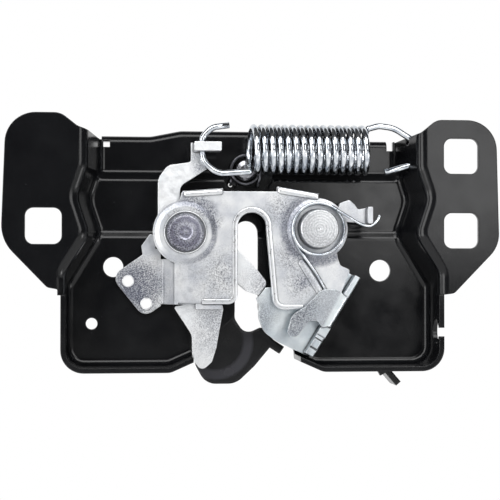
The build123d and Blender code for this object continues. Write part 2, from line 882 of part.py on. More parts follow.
def pawl_spring():
    x, z = pawl_pivot
    start_angle = math.radians(60)
    rear_y = boss_front_y - pawl_wire_r - 0.15
    front_y = rear_y - pawl_coil_turns * pawl_coil_pitch
    steps = round(pawl_coil_turns * 10)
    turns = []
    for i in range(steps + 1):
        angle = start_angle + math.tau * pawl_coil_turns * i / steps
        y = front_y + pawl_coil_turns * pawl_coil_pitch * i / steps
        turns.append(Vector(x + pawl_coil_r * math.cos(angle), y, z + pawl_coil_r * math.sin(angle)))
    hook_leg = leg_points([
        turns[-1],
        (x + 1.5, rear_y + 0.35, z - 21.5),
        (x + 5.6, plate_front_y - pawl_wire_r - 0.25, z - 28.4),
    ], [12], 4)
    ear_low = z + 2.2 - pawl_wire_r - 0.35
    ear_leg = leg_points([
        turns[0],
        (x + 17.5, front_y + 1.2, ear_low + 0.4),
        (x + 22.6, front_y + 1.8, ear_low),
        (x + 24.9, front_y + 1.8, z + 5.6),
    ], [4, 1.4], 8)
    path = Spline(*reversed(ear_leg), *turns, *hook_leg)
    start = Plane(origin=path @ 0, z_dir=path % 0)
    return sweep(start * Circle(pawl_wire_r), path=path)


def hook_rivet():
    face_y = high_floor_y - hook_head_t
    head_y = hook_back_y + side_gap
    return turned([
        (0, face_y),
        (hook_head_r - 2.9, face_y + 0.2),
        (hook_head_r - 1.3, face_y + 0.7),
        (hook_head_r - 0.3, face_y + 1.5),
        (hook_head_r, face_y + 2.2),
        (hook_head_r, high_floor_y),
        (hook_shank_r, high_floor_y),
        (hook_shank_r, head_y),
        (hook_eye_r - 2.0, head_y),
        (hook_eye_r - 3.0, head_y + 2.0),
        (0, head_y + 2.0),
    ], hook_pivot)


def hook_washer():
    back = high_floor_y + bracket_t
    return ring(hook_pivot, hook_eye_r - 1.5, hook_shank_r + fit_gap, back, hook_front_y - side_gap)


def hook_spring():
    x, z = hook_pivot
    mean_r = hook_coil_r
    rear_y = high_floor_y - hook_wire_r - 0.05
    front_y = rear_y - hook_coil_turns * hook_coil_pitch
    axis = Plane(origin=(x, front_y, z), x_dir=(-1, 0, 0), z_dir=(0, 1, 0))
    body = coil(axis, mean_r, hook_wire_r, hook_coil_pitch, hook_coil_turns)
    rear_leg = wire([
        (x - mean_r, rear_y, z),
        (x - mean_r, rear_y, z - 6.0),
        (x - mean_r, hook_front_y + 0.8, z - 6.0),
    ], [1.2], hook_wire_r)
    front_leg = wire([
        (x + mean_r, front_y, z),
        (x + mean_r, front_y, z - 3.5),
        (x + mean_r - 1.2, front_y, z - 7.0),
    ], [3], hook_wire_r)
    body = join_leg(body, (x - mean_r, rear_y, z), hook_wire_r, rear_leg)
    return join_leg(body, (x + mean_r, front_y, z), hook_wire_r, front_leg)


def safety_hook():
    arm = slab(outline([
        (-8.8, 0.0, 0),
        (-13.5, -22.0, 14),
        (-20.0, -58.0, 20),
        (-20.7, -79.0, 9),
        (-16.0, -87.6, 7),
        (-3.6, -87.6, 8),
        (4.0, -80.5, 6),
        (10.4, -72.9, 0),
        (14.4, -75.5, 0.4),
        (16.4, -72.6, 0.4),
        (11.7, -69.5, 0.5),
        (9.8, -65.6, 1.5),
        (6.6, -64.6, 2),
        (0.2, -67.6, 4.5),
        (-4.1, -61.0, 4),
        (-4.1, -19.0, 4),
        (7.0, -6.0, 0),
    ], hook_pivot), hook_front_y, hook_back_y)
    tail_line = FilletPolyline(
        (hook_pivot[0], hook_pivot[1]),
        (hook_pivot[0] + 36.0, hook_pivot[1] - 12.0),
        (hook_pivot[0] + 44.0, hook_pivot[1] - 52.0),
        (hook_pivot[0] + 60.6, hook_pivot[1] - 82.6),
        radius=[16, 20],
    )
    tail = slab(trace(tail_line, line_width=tail_width), hook_front_y, hook_back_y)
    tab = Box(hook_t, tail_tab_depth, 8.6, align=(Align.CENTER, Align.MIN, Align.MAX))
    tab = Pos(hook_pivot[0] + 58.6, hook_front_y, hook_pivot[1] - 81.6) * Rot(0, -41, 0) * tab
    lever = arm + disc(hook_pivot, hook_eye_r, hook_front_y, hook_back_y) + tail + tab
    lever -= disc(hook_pivot, hook_shank_r + running_gap, hook_front_y - 1, hook_back_y + 1)
    return lever - disc(leg_place, hook_wire_r + 0.3, hook_front_y - 1, hook_back_y + 1)


nodes = {
    "base_bracket": base_bracket(),
    "front_plate": front_plate(),
    "claw": claw(),
    "claw_bush": bush(claw_pivot),
    "claw_rear_washer": rear_washer(claw_pivot),
    "claw_front_washer": front_washer(claw_pivot),
    "claw_rivet": claw_rivet(),
    "claw_spring": claw_spring(),
    "pawl": pawl(),
    "pawl_bush": bush(pawl_pivot),
    "pawl_rear_washer": rear_washer(pawl_pivot),
    "pawl_front_washer": front_washer(pawl_pivot),
    "pawl_stud": pawl_stud(),
    "pawl_spring": pawl_spring(),
    "safety_hook": safety_hook(),
    "hook_washer": hook_washer(),
    "hook_rivet": hook_rivet(),
    "hook_spring": hook_spring(),
}

os.makedirs("parts", exist_ok=True)
for name, solid in nodes.items():
    solid.label = name
    export_step(solid, f"parts/{name}.step")
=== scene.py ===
import math

import bpy
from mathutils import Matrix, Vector


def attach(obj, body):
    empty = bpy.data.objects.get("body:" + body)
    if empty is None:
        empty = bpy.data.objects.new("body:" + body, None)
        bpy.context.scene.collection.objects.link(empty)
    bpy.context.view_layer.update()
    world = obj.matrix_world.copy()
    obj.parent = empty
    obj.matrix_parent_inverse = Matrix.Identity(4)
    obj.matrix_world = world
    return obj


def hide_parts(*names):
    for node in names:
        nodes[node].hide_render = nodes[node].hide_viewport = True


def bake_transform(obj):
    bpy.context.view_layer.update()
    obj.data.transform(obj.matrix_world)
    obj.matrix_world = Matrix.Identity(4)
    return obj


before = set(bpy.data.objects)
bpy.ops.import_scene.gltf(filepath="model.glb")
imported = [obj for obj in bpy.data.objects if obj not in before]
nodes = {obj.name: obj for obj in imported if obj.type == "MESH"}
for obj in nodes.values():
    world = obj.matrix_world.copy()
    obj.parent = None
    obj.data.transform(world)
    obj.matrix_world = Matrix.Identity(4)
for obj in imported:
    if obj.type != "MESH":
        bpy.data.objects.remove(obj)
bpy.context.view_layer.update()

MM = 0.001

# Places on the CAD pieces, in mm: front faces along Y, pivots as (x, z)
PLATE_FRONT = -9.0
BOSS_FRONT = -9.8
FOOT_FRONT = -2.0
LEVER_FRONT = -5.8
PAWL_FOLD_FRONT = -12.9
CLAW_PIVOT = (-26.7, -1.0)
PAWL_PIVOT = (26.2, 0.4)

# The camera, in metres and degrees
CAMERA_TARGET = (-0.0008, -0.008, -0.008)
CAMERA_DISTANCE = 0.533
CAMERA_TURN = -5.7
CAMERA_TILT = -1.0
SENSOR_WIDTH = 36.0
FOCAL_LENGTH = 95.98

# The studio, in metres and watts. A lamp is its name, place, aim, width, height and power.
MIDDLE = (0.0, 0.0, 0.0)
LAMPS = (
    ("top_light", (0.0, -0.66, 0.60), MIDDLE, 1.10, 0.44, 7.0),
    ("left_light", (-0.70, -0.66, 0.16), MIDDLE, 0.44, 0.80, 4.2),
    ("low_light", (0.05, -0.70, -0.52), MIDDLE, 0.90, 0.30, 2.0),
    ("far_left_light", (-0.95, -0.14, 0.10), MIDDLE, 0.24, 0.80, 2.0),
    ("right_low_light", (0.66, -0.42, -0.46), MIDDLE, 0.24, 0.60, 3.2),
    ("right_panel", (0.42, -1.05, 0.19), (0.06, 0.0, 0.03), 0.46, 0.38, 1.75),
)
WHITE = (1.0, 1.0, 1.0, 1.0)
MATTE_WHITE = (0.86, 0.86, 0.86, 1.0)
ROOM_GLOW = 0.07
BACKDROP_SIZE = 6.0
FLOOR_Z = -0.32
WALL_Y = 1.4

# Colours of the finishes' details, painted highlights and painted shade among them
COAT_BLACK = (0.0038, 0.004, 0.0048)
COAT_CLOUD = (0.0065, 0.0068, 0.0078)
# painted highlight along the safety hook's ridge
COAT_RIDGE_HIGHLIGHT = (0.036, 0.036, 0.042)
COAT_DUST = (0.13, 0.13, 0.14)
# painted highlight along rounded edges
EDGE_HIGHLIGHT_METAL = (0.93, 0.94, 0.95)
# painted shade, and on the foot its darker grain
SHADE_AND_GRAIN_PATCH = (0.17, 0.18, 0.23)
# painted shade round the bosses
PAINTED_SHADE_RING = (0.2, 0.21, 0.25)
DARKER_FLAT = (0.30, 0.31, 0.35)
UNLIT_FACE = (0.13, 0.13, 0.18)
DARK_GRAIN = (0.07, 0.075, 0.10)
# painted shade in corners and grooves
CORNER_PAINTED_SHADE = (0.05, 0.055, 0.065)

# Over how many mm a finish changes: in depth, beside a fold and on a ring's bright side
DEPTH_FADE = 0.8
FOLD_FADE = 0.5
BRIGHT_SIDE = (9.0, 20.0)

# Sockets of the colour form of the Mix node, which share their names with other sockets
MIX_FIRST, MIX_SECOND, MIX_RESULT = 6, 7, 2

# Modelling: points that merge, points on a seam, steps round a corner and smooth edges
MERGE_GAP = 0.01 * MM
SEAM_GAP = 0.05 * MM
DEGREES_PER_STEP = 9
FEWEST_STEPS = 3
PRESSED_EDGE_DEGREES = 40
WIRE_EDGE_DEGREES = 80


# Camera

def place_camera():
    turn = math.radians(CAMERA_TURN)
    tilt = math.radians(CAMERA_TILT)
    back = Vector((
        math.sin(turn) * math.cos(tilt),
        -math.cos(turn) * math.cos(tilt),
        math.sin(tilt),
    ))
    data = bpy.data.cameras.new("camera")
    data.sensor_width = SENSOR_WIDTH
    data.lens = FOCAL_LENGTH
    data.clip_start = 0.01
    data.clip_end = 20.0
    camera = bpy.data.objects.new("camera", data)
    camera.location = Vector(CAMERA_TARGET) + back * CAMERA_DISTANCE
    camera.rotation_euler = back.to_track_quat("Z", "Y").to_euler()
    bpy.context.scene.collection.objects.link(camera)
    bpy.context.scene.camera = camera


# Light

def softbox(name, place, aim, width, height, power):
    data = bpy.data.lights.new(name, "AREA")
    data.shape = "RECTANGLE"
    data.size = width
    data.size_y = height
    data.energy = power
    lamp = bpy.data.objects.new(name, data)
    lamp.location = place
    lamp.rotation_euler = (Vector(place) - Vector(aim)).to_track_quat("Z", "Y").to_euler()
    bpy.context.scene.collection.objects.link(lamp)


def light_studio():
    """Lamps, and a room that the camera sees as white but that lights the metal only faintly."""
    for lamp in LAMPS:
        softbox(*lamp)
    world = bpy.data.worlds.new("studio")
    bpy.context.scene.world = world
    world.use_nodes = True
    tree = world.node_tree
    back = tree.nodes["Background"]
    back.inputs["Color"].default_value = WHITE
    path = tree.nodes.new("ShaderNodeLightPath")
    level = tree.nodes.new("ShaderNodeMapRange")
    level.inputs["To Min"].default_value = ROOM_GLOW
    level.inputs["To Max"].default_value = 1.0
    tree.links.new(path.outputs["Is Camera Ray"], level.inputs["Value"])
    tree.links.new(level.outputs["Result"], back.inputs["Strength"])


def lay_floor():
    """Floor and wall, plain white to the camera and in reflections and matte to other light."""
    bpy.ops.object.select_all(action="DESELECT")
    bpy.ops.mesh.primitive_plane_add(size=BACKDROP_SIZE, location=(0.0, 0.0, FLOOR_Z))
    floor = bpy.context.object
    floor.name = "studio_floor"
    bpy.ops.mesh.primitive_plane_add(
        size=BACKDROP_SIZE, location=(0.0, WALL_Y, 0.0), rotation=(math.pi / 2, 0.0, 0.0))
    wall = bpy.context.object
    wall.name = "studio_wall"
    stuff = bpy.data.materials.new("studio_white")
    stuff.use_nodes = True
    tree = stuff.node_tree
    tree.nodes.clear()
    out = tree.nodes.new("ShaderNodeOutputMaterial")
    mix = tree.nodes.new("ShaderNodeMixShader")
    matte = tree.nodes.new("ShaderNodeBsdfDiffuse")
    matte.inputs["Color"].default_value = MATTE_WHITE
    glow = tree.nodes.new("ShaderNodeEmission")
    glow.inputs["Color"].default_value = WHITE
    path = tree.nodes.new("ShaderNodeLightPath")
    seen = tree.nodes.new("ShaderNodeMath")
    seen.operation = "ADD"
    seen.use_clamp = True
    tree.links.new(path.outputs["Is Camera Ray"], seen.inputs[0])
    tree.links.new(path.outputs["Is Glossy Ray"], seen.inputs[1])
    tree.links.new(seen.outputs[0], mix.inputs["Fac"])
    tree.links.new(matte.outputs["BSDF"], mix.inputs[1])
    tree.links.new(glow.outputs["Emission"], mix.inputs[2])
    tree.links.new(mix.outputs["Shader"], out.inputs["Surface"])
    for part in (floor, wall):
        part.data.materials.append(stuff)


# Materials

class Finish:
    """A node material built up step by step. Its methods give sockets and take lengths in mm."""

    def __init__(self, name, metallic=0.0):
        self.material = bpy.data.materials.new(name)
        self.material.use_nodes = True
        self.tree = self.material.node_tree
        self.shader = self.tree.nodes["Principled BSDF"]
        self.shader.inputs["Metallic"].default_value = metallic
        self.place = self.tree.nodes.new("ShaderNodeTexCoord").outputs["Object"]

    def node(self, kind, **values):
        made = self.tree.nodes.new(kind)
        for key, value in values.items():
            setattr(made, key, value)
        return made

    def join(self, start, end):
        self.tree.links.new(start, end)

    def feed(self, name, value):
        self.join(value, self.shader.inputs[name])

    def scaled(self, x, y, z):
        """The place on the object, drawn in or out along each axis."""
        made = self.node("ShaderNodeMapping")
        made.inputs["Scale"].default_value = (x, y, z)
        self.join(self.place, made.inputs["Vector"])
        return made.outputs["Vector"]

    def part_along(self, axis):
        """The place along one axis."""
        made = self.node("ShaderNodeSeparateXYZ")
        self.join(self.place, made.inputs[0])
        return made.outputs[axis]

    def distance(self, place, x, y, z):
        """How far a place is from a point."""
        made = self.node("ShaderNodeVectorMath", operation="DISTANCE")
        made.inputs[1].default_value = (x * MM, y * MM, z * MM)
        self.join(place, made.inputs[0])
        return made.outputs["Value"]

    def noise(self, size, detail=3.0, rough=0.5):
        """Noise whose features are about that size."""
        made = self.node("ShaderNodeTexNoise")
        made.inputs["Scale"].default_value = 1.0 / MM / size
        made.inputs["Detail"].default_value = detail
        made.inputs["Roughness"].default_value = rough
        self.join(self.place, made.inputs["Vector"])
        return made.outputs["Fac"]

    def near(self, x, y, z, inner, outer, depth_scale=1.0):
        """1 near a point, falling to 0 at the outer distance; depths count depth_scale times."""
        gap = self.distance(self.scaled(1.0, depth_scale, 1.0), x, y * depth_scale, z)
        return self.span(gap, inner * MM, outer * MM, 1.0, 0.0)

    def ring(self, x, z, radius, half_width, bright_x, bright_z):
        """1 on a circle about a pivot, fading out beside it and towards the bright side."""
        flat = self.scaled(1.0, 0.0, 1.0)
        off = self.maths("SUBTRACT", self.distance(flat, x, 0.0, z), radius * MM)
        off = self.maths("ABSOLUTE", off, 0.0)
        band = self.span(off, 0.5 * half_width * MM, half_width * MM, 1.0, 0.0)
        far = self.distance(flat, bright_x, 0.0, bright_z)
        low, high = BRIGHT_SIDE
        return self.maths("MULTIPLY", band, self.span(far, low * MM, high * MM, 0.0, 1.0))

    def along(self, axis, low, high):
        """0 before one place along an axis and 1 past the other, in either direction."""
        return self.span(self.part_along(axis), low * MM, high * MM, 0.0, 1.0)

    def span(self, value, low, high, to_low, to_high):
        """A value brought from one range to another, kept within it."""
        made = self.node("ShaderNodeMapRange")
        made.inputs["From Min"].default_value = low
        made.inputs["From Max"].default_value = high
        made.inputs["To Min"].default_value = to_low
        made.inputs["To Max"].default_value = to_high
        self.join(value, made.inputs["Value"])
        return made.outputs["Result"]

    def blend(self, share, first, second):
        """The first colour where share is 0 and the second where it is 1."""
        made = self.node("ShaderNodeMix", data_type="RGBA")
        self.join(share, made.inputs["Factor"])
        for socket, colour in ((MIX_FIRST, first), (MIX_SECOND, second)):
            if isinstance(colour, tuple):
                made.inputs[socket].default_value = (*colour, 1.0)
            else:
                self.join(colour, made.inputs[socket])
        return made.outputs[MIX_RESULT]

    def maths(self, operation, first, second):
        made = self.node("ShaderNodeMath", operation=operation)
        made.use_clamp = operation == "ADD"
        self.join(first, made.inputs[0])
        if isinstance(second, float):
            made.inputs[1].default_value = second
        else:
            self.join(second, made.inputs[1])
        return made.outputs[0]

    def bump(self, height, depth, strength, before=None):
        made = self.node("ShaderNodeBump")
        made.inputs["Distance"].default_value = depth * MM
        made.inputs["Strength"].default_value = strength
        self.join(height, made.inputs["Height"])
        if before is not None:
            self.join(before, made.inputs["Normal"])
        return made.outputs["Normal"]

    def soft_edge(self, radius):
        made = self.node("ShaderNodeBevel", samples=6)
        made.inputs["Radius"].default_value = radius * MM
        return made.outputs["Normal"]

    def corner_share(self, reach, low=0.72, high=0.97):
        """1 where another surface stands close by and 0 on open faces."""
        made = self.node("ShaderNodeAmbientOcclusion", samples=8)
        made.inputs["Distance"].default_value = reach * MM
        return self.span(made.outputs["AO"], low, high, 1.0, 0.0)

    def edge_share(self, radius):
        """0 on flats and 1 along edges, where rounding within the radius turns the surface."""
        turn = self.node("ShaderNodeVectorMath", operation="DOT_PRODUCT")
        self.join(self.soft_edge(radius), turn.inputs[0])
        self.join(self.node("ShaderNodeNewGeometry").outputs["Normal"], turn.inputs[1])
        return self.span(turn.outputs["Value"], 0.8, 0.99, 1.0, 0.0)

    def paint_edge_highlight(self, shade, radius):
        """A shade with a painted highlight along its edges."""
        highlit = self.maths("MULTIPLY", self.edge_share(radius), 0.8)
        return self.blend(highlit, shade, EDGE_HIGHLIGHT_METAL)

    def uneven_roughness(self, size, detail, level, below, above):
        """Roughness that wanders about a level."""
        cloud = self.noise(size, detail)
        self.feed("Roughness", self.span(cloud, 0.3, 0.7, level - below, level + above))


def black_coat(name, roughness, edge=0.6, ridge_highlight=None):
    """Glossy black dip coat with orange peel, faint clouds and dust, and a painted highlight
    along one ridge.
    """
    finish = Finish(name)
    cloud = finish.span(finish.noise(26.0, 2.0), 0.35, 0.7, 0.0, 1.0)
    shade = finish.blend(cloud, COAT_BLACK, COAT_CLOUD)
    dust = finish.span(finish.noise(1.1, 1.0), 0.79, 0.83, 0.0, 0.3)
    if ridge_highlight is not None:
        # painted highlight: a paler band on a ring along the ridge
        shade = finish.blend(finish.ring(*ridge_highlight), shade, COAT_RIDGE_HIGHLIGHT)
    finish.feed("Base Color", finish.blend(dust, shade, COAT_DUST))
    finish.shader.inputs["Specular IOR Level"].default_value = 0.36
    smear = finish.span(finish.noise(9.0, 3.0), 0.3, 0.75, roughness - 0.03, roughness + 0.07)
    finish.feed("Roughness", smear)
    peel = finish.bump(finish.noise(2.4, 2.0), 0.03, 0.2, finish.soft_edge(edge))
    finish.feed("Normal", peel)
    return finish.material


def darken_flat_by_fold(finish, fine, shade, normal_x, normal_z, reach, depth):
    """Darkens the flat beside a fold: short of reach along its normal and in front of depth."""
    across = finish.node("ShaderNodeVectorMath", operation="DOT_PRODUCT")
    across.inputs[1].default_value = (normal_x, 0.0, normal_z)
    finish.join(finish.place, across.inputs[0])
    low, high = (reach - FOLD_FADE) * MM, (reach + FOLD_FADE) * MM
    flat = finish.span(across.outputs["Value"], low, high, 1.0, 0.0)
    front = finish.along("Y", depth + DEPTH_FADE, depth)
    darker = finish.maths("MULTIPLY", flat, front)
    darker = finish.maths("MULTIPLY", darker, finish.span(fine, 0.4, 0.6, 0.35, 0.8))
    return finish.blend(darker, shade, DARKER_FLAT)


def zinc(name, light, dark, roughness, speck,
         patches=(), shades=(), rings=(), web=None, fold=None):
    """Zinc plating: a soft mottle, dark grains that crowd in some places, painted shade in
    places and in corners, and a painted highlight along the edges.

    patches, where grains crowd, and shades, painted shade that on the foot also stands for its
    darker grain, hold arguments of Finish.near, and rings, painted shade round the bosses, those
    of
    Finish.ring. web is the front and back depth of a less metallic wall, and fold holds the
    arguments for a darker flat beside a fold.
    """
    finish = Finish(name, 1.0)
    cloud = finish.span(finish.noise(9.0, 3.0, 0.55), 0.36, 0.66, 0.0, 1.0)
    shade = finish.blend(cloud, light, dark)

    # where the grains crowd
    fine = finish.noise(0.42, 2.5, 0.7)
    drift = finish.span(finish.noise(13.0, 2.0), 0.42, 0.62, 0.1, 0.8)
    crowd = finish.maths("MULTIPLY", drift, speck)
    for patch in patches:
        crowd = finish.maths("ADD", crowd, finish.near(*patch))

    # painted shade, a darker flat by a fold, grains, painted edge highlight, painted corner
    # shade
    for patch in shades:
        mottle = finish.span(fine, 0.42, 0.6, 0.15, 0.95)
        darker = finish.maths("MULTIPLY", finish.near(*patch), mottle)
        shade = finish.blend(darker, shade, SHADE_AND_GRAIN_PATCH)
    for ring in rings:
        mottle = finish.span(fine, 0.36, 0.6, 0.4, 0.95)
        darker = finish.maths("MULTIPLY", finish.ring(*ring), mottle)
        shade = finish.blend(darker, shade, PAINTED_SHADE_RING)
    if fold is not None:
        shade = darken_flat_by_fold(finish, fine, shade, *fold)
    grains = finish.maths("MULTIPLY", finish.span(fine, 0.44, 0.66, 0.0, 0.9), crowd)
    shade = finish.blend(grains, shade, DARK_GRAIN)
    shade = finish.paint_edge_highlight(shade, 0.45)
    # painted shade where other surfaces stand close
    corner_shade = finish.maths("MULTIPLY", finish.corner_share(0.9), 0.85)
    finish.feed("Base Color", finish.blend(corner_shade, shade, CORNER_PAINTED_SHADE))

    if web is not None:
        front, back = web
        behind = finish.along("Y", front, front + DEPTH_FADE)
        before = finish.along("Y", back, back - DEPTH_FADE)
        inside = finish.maths("MULTIPLY", behind, before)
        finish.feed("Metallic", finish.span(inside, 0.0, 1.0, 1.0, 0.25))
    finish.uneven_roughness(1.6, 3.0, roughness, 0.05, 0.08)
    wave = finish.bump(finish.noise(6.0, 2.0), 0.08, 0.3, finish.soft_edge(0.45))
    finish.feed("Normal", finish.bump(fine, 0.03, 0.3, wave))
    return finish.material


def ringed(name, centre, light, dark, ring_scale, speck, roughness):
    """Round face with fine turning rings about a pivot and a few dark grains."""
    finish = Finish(name, 1.0)
    shift = finish.node("ShaderNodeMapping")
    shift.inputs["Location"].default_value = (-centre[0] * MM, 0.0, -centre[1] * MM)
    flat = finish.node("ShaderNodeMapping")
    flat.inputs["Scale"].default_value = (1.0, 0.0, 1.0)
    finish.join(finish.place, shift.inputs["Vector"])
    finish.join(shift.outputs["Vector"], flat.inputs["Vector"])
    rings = finish.node("ShaderNodeTexWave", wave_type="RINGS", rings_direction="SPHERICAL")
    rings.inputs["Scale"].default_value = ring_scale
    rings.inputs["Distortion"].default_value = 2.4
    rings.inputs["Detail Scale"].default_value = 3.0
    rings.inputs["Detail"].default_value = 2.0
    finish.join(flat.outputs["Vector"], rings.inputs["Vector"])
    shade = finish.blend(rings.outputs["Fac"], light, dark)
    fine = finish.noise(0.6, 2.0, 0.75)
    lit = finish.near(centre[0] + 4.0, -14.0, centre[1] + 5.0, 3.0, 12.0)
    unlit = finish.span(lit, 0.0, 1.0, 0.55 * speck, 0.0)
    shade = finish.blend(unlit, shade, UNLIT_FACE)
    crowd = finish.span(lit, 0.0, 1.0, speck, speck * 0.45)
    grains = finish.maths("MULTIPLY", finish.span(fine, 0.45, 0.55, 0.0, 1.0), crowd)
    shade = finish.blend(grains, shade, tuple(0.25 * c for c in dark))
    # painted highlight along the edges
    finish.feed("Base Color", finish.paint_edge_highlight(shade, 0.4))
    finish.uneven_roughness(1.2, 2.0, roughness, 0.05, 0.06)
    turned = finish.bump(rings.outputs["Fac"], 0.03, 0.3, finish.soft_edge(0.4))
    finish.feed("Normal", turned)
    return finish.material


def spring_steel(name, light, dark, roughness):
    """Bright or dark steel, clouded, with painted shade where coils and neighbours stand close.
    """
    finish = Finish(name, 1.0)
    cloud = finish.span(finish.noise(3.0, 3.0), 0.35, 0.7, 0.0, 1.0)
    corner_shade = finish.maths("MULTIPLY", finish.corner_share(1.6, 0.3, 0.95), 0.92)
    shade = finish.blend(cloud, light, dark)
    finish.feed("Base Color", finish.blend(corner_shade, shade, tuple(0.08 * c for c in dark)))
    finish.uneven_roughness(0.8, 2.0, roughness, 0.05, 0.07)
    finish.feed("Normal", finish.bump(finish.noise(0.5, 2.0), 0.02, 0.3))
    return finish.material


def dress(names, material):
    for name in names:
        node = nodes[name]
        node.data.materials.clear()
        node.data.materials.append(material)


# Pressed details of the front plate

def finish_piece(piece, name, material):
    """Names a detail of the front plate, settles its normals and hands it to the bracket."""
    bpy.ops.object.mode_set(mode="EDIT")
    bpy.ops.mesh.select_all(action="SELECT")
    bpy.ops.mesh.remove_doubles(threshold=MERGE_GAP)
    bpy.ops.mesh.normals_make_consistent(inside=False)
    bpy.ops.object.mode_set(mode="OBJECT")
    bpy.ops.object.transform_apply(location=True, rotation=True, scale=True)
    bpy.ops.object.shade_smooth_by_angle(angle=math.radians(PRESSED_EDGE_DEGREES))
    piece.name = name
    piece.data.materials.clear()
    piece.data.materials.append(material)
    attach(piece, "bracket")


def run_on(dx, dz):
    """Carries the open end straight on."""
    step = (dx * MM, 0.0, dz * MM)
    bpy.ops.mesh.extrude_region_move(TRANSFORM_OT_translate={"value": step})


def turn_about(centre, degrees):
    """Carries the open end round a corner; positive turns left as the front is looked at."""
    bpy.ops.mesh.spin(
        steps=max(FEWEST_STEPS, int(abs(degrees) / DEGREES_PER_STEP)),
        angle=math.radians(abs(degrees)),
        center=(centre[0] * MM, 0.0, centre[1] * MM),
        axis=(0.0, 1.0 if degrees > 0 else -1.0, 0.0))


def slot_lip(material):
    """Coined band round the striker slot, drawn along the edge and spun round its corners."""
    width, depth, sink, corner = 2.0, 0.6, 0.1, 0.2
    # the band's middle runs this far inside the plate's edge, which starts at left_end
    inset = 1.15
    left_end = (-20.0, -29.7)
    # centres of the corners, as (x, z)
    left_corner = (-9.7, -25.7)
    top_left = (-0.1, 1.4)
    top_right = (0.1, 1.4)
    wide_bend = (25.7, 0.9)
    right_corner = (12.98, -27.2)
    # the right leg leans by this many degrees, and the band goes this far down it
    lean = 5.18
    right_leg = (2.42, -26.73)
    right_foot = 7.5
    bpy.ops.object.select_all(action="DESELECT")
    bpy.ops.mesh.primitive_plane_add(
        size=1.0,
        location=(left_end[0] * MM, (PLATE_FRONT + sink) * MM, (left_end[1] + inset) * MM),
        rotation=(0.0, math.pi / 2, 0.0))
    band = bpy.context.object
    band.scale = (width * MM, depth * MM, 1.0)
    bpy.ops.object.transform_apply(location=True, rotation=True, scale=True)
    for vertex in band.data.vertices:
        vertex.select = vertex.co.y < PLATE_FRONT * MM
    bpy.ops.object.mode_set(mode="EDIT")
    bpy.ops.mesh.select_mode(type="VERT")
    bpy.ops.mesh.bevel(offset=corner * MM, segments=3, affect="VERTICES")
    bpy.ops.mesh.select_all(action="SELECT")
    run_on(left_corner[0] - left_end[0], 0.0)
    turn_about(left_corner, 90)
    run_on(0.0, top_left[1] - left_corner[1])
    turn_about(top_left, -90)
    run_on(top_right[0] - top_left[0], 0.0)
    turn_about(top_right, -90)
    run_on(0.0, wide_bend[1] - top_right[1])
    turn_about(wide_bend, lean)
    run_on(*right_leg)
    turn_about(right_corner, 90 - lean)
    run_on(right_foot, 0.0)
    finish_piece(band, "slot_lip", material)


def pressed_bar(name, start, end, radius, material):
    """Short pressed bar on the plate with round ends and a soft top."""
    depth, sink, crown, top_inset = 0.8, 0.2, 0.3, 0.35 * radius
    start, end = Vector(start), Vector(end)
    middle = (start + end) / 2
    run = end - start
    bpy.ops.object.select_all(action="DESELECT")
    bpy.ops.mesh.primitive_cylinder_add(
        vertices=32, radius=radius * MM, depth=depth * MM,
        location=(0.0, 0.0, 0.0), rotation=(math.pi / 2, 0.0, 0.0))
    rib = bpy.context.object
    bpy.ops.object.transform_apply(location=True, rotation=True, scale=True)
    bpy.ops.object.mode_set(mode="EDIT")
    bpy.ops.mesh.select_all(action="SELECT")
    bpy.ops.mesh.bisect(plane_co=(0.0, 0.0, 0.0), plane_no=(1.0, 0.0, 0.0))
    for side in (-1.0, 1.0):
        bpy.ops.object.mode_set(mode="OBJECT")
        for part in (rib.data.vertices, rib.data.edges, rib.data.polygons):
            part.foreach_set("select", [False] * len(part))
        for vertex in rib.data.vertices:
            vertex.select = vertex.co.x * side > SEAM_GAP
        bpy.ops.object.mode_set(mode="EDIT")
        bpy.ops.mesh.select_mode(type="VERT")
        bpy.ops.transform.translate(value=(side * (run.length / 2 - radius) * MM, 0.0, 0.0))
    bpy.ops.object.mode_set(mode="OBJECT")
    for vertex in rib.data.vertices:
        vertex.select = False
    for face in rib.data.polygons:
        face.select = face.normal.y < -0.9
    bpy.ops.object.mode_set(mode="EDIT")
    bpy.ops.mesh.select_mode(type="FACE")
    bpy.ops.mesh.inset(thickness=top_inset * MM)
    bpy.ops.transform.translate(value=(0.0, -crown * MM, 0.0))
    bpy.ops.object.mode_set(mode="OBJECT")
    rib.rotation_euler = (0.0, -math.atan2(run.y, run.x), 0.0)
    rib.location = (middle.x * MM, (PLATE_FRONT + sink) * MM, middle.y * MM)
    bpy.ops.object.transform_apply(location=True, rotation=True, scale=True)
    finish_piece(rib, name, material)


def rolled_rim(name, centre, y, radius, thickness, material):
    bpy.ops.object.select_all(action="DESELECT")
    bpy.ops.mesh.primitive_torus_add(
        major_radius=radius * MM, minor_radius=thickness * MM,
        major_segments=64, minor_segments=12,
        location=(centre[0] * MM, y * MM, centre[1] * MM), rotation=(math.pi / 2, 0.0, 0.0))
    finish_piece(bpy.context.object, name, material)


# Springs

def flexing_spring(node_name, name):
    """Merged, smooth-shaded copy of a spring, which takes the place of the hidden original."""
    spring = nodes[node_name].copy()
    spring.data = nodes[node_name].data.copy()
    spring.name = name
    spring.parent = None
    spring.matrix_world = nodes[node_name].matrix_world
    bpy.context.scene.collection.objects.link(spring)
    bpy.ops.object.select_all(action="DESELECT")
    spring.select_set(True)
    bpy.context.view_layer.objects.active = spring
    bpy.ops.object.mode_set(mode="EDIT")
    bpy.ops.mesh.select_all(action="SELECT")
    bpy.ops.mesh.remove_doubles(threshold=MERGE_GAP)
    bpy.ops.object.mode_set(mode="OBJECT")
    bpy.ops.object.transform_apply(location=True, rotation=True, scale=True)
    bpy.ops.object.shade_smooth_by_angle(angle=math.radians(WIRE_EDGE_DEGREES))
    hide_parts(node_name)
    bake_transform(spring)


place_camera()
light_studio()
lay_floor()

